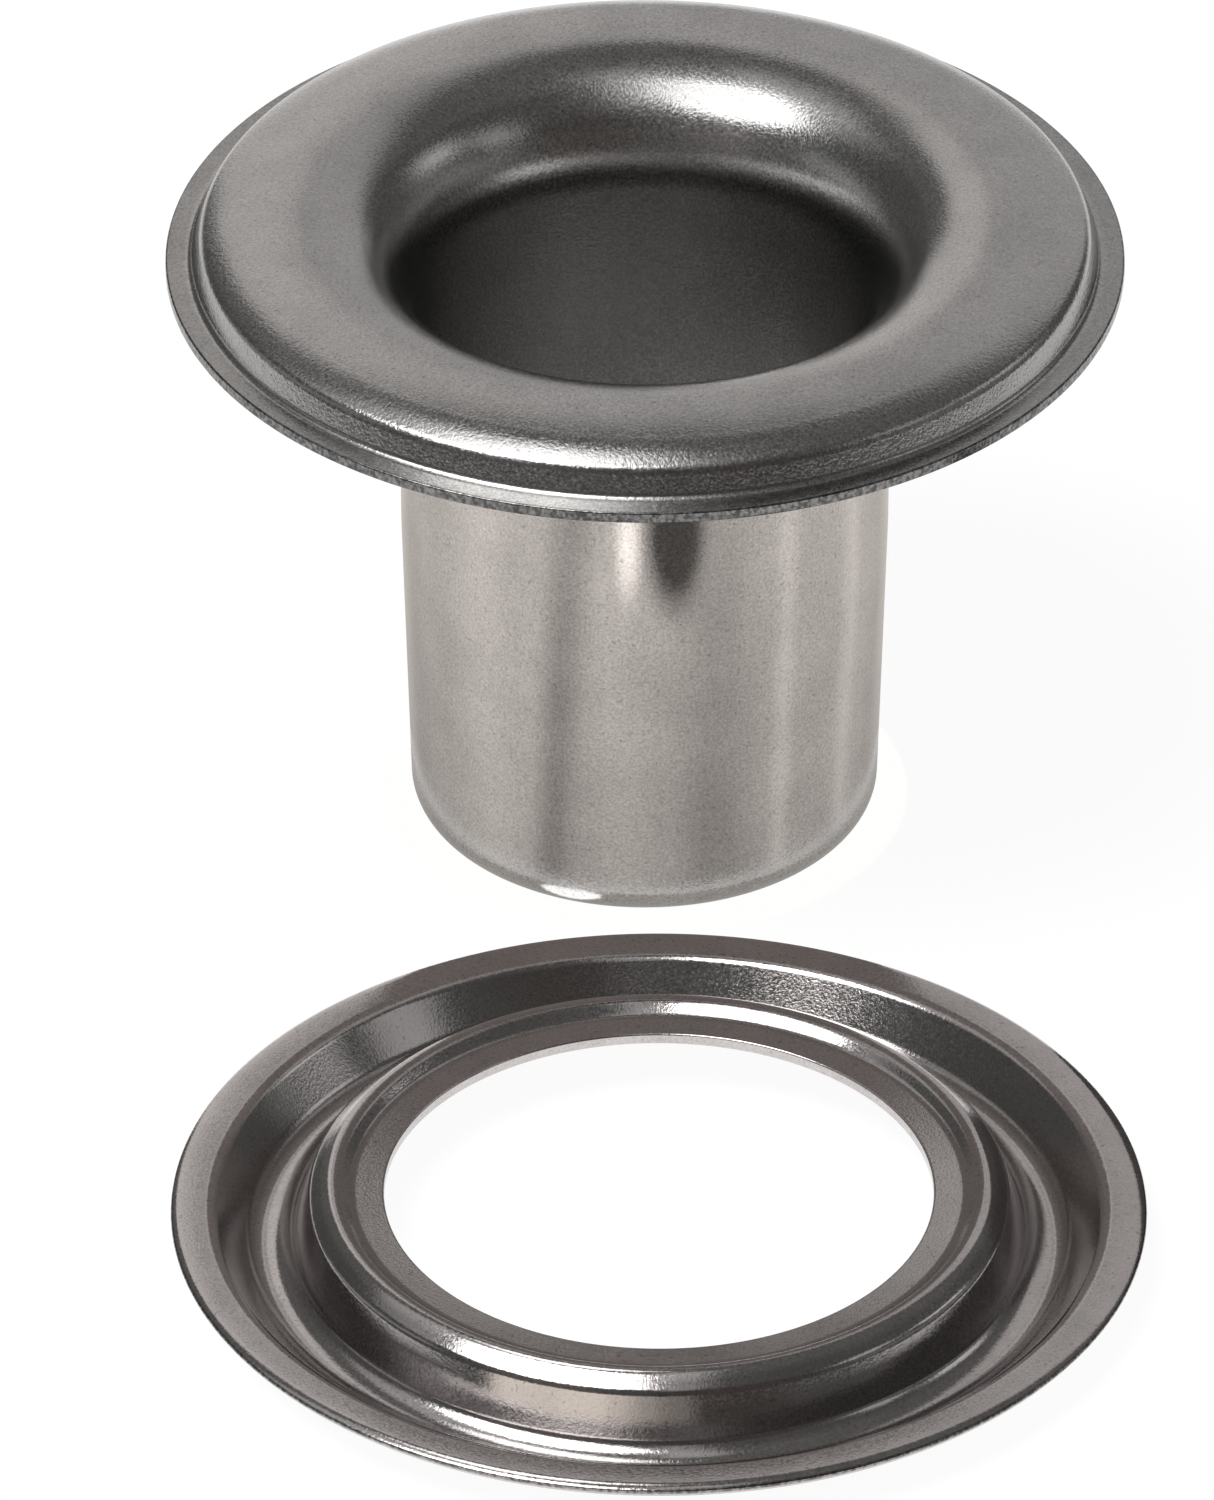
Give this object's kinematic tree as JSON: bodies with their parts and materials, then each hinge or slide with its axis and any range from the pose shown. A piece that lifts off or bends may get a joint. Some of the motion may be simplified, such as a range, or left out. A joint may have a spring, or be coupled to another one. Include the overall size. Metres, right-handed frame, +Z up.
{
  "type": "grommet eyelet",
  "caption": "Flanged sheet-metal grommet eyelet with a deep barrel, standing on its end, and the channelled washer that it is set with lying beside it.",
  "frame": {"origin": "middle of the pair's footprint, on the surface that both pieces rest on", "axes": "+Z up along the eyelet's and the washer's axes, towards the eyelet's flange; -Y from the eyelet towards the washer; +X to the right as seen from the washer's side"},
  "size_m": [0.0243, 0.0444, 0.0172],
  "materials": {
    "satin_steel": "satin, as pressed and tumbled"
  },
  "bodies": {
    "root": {"eyelet": "satin_steel", "washer": "satin_steel"}
  },
  "joints": []
}
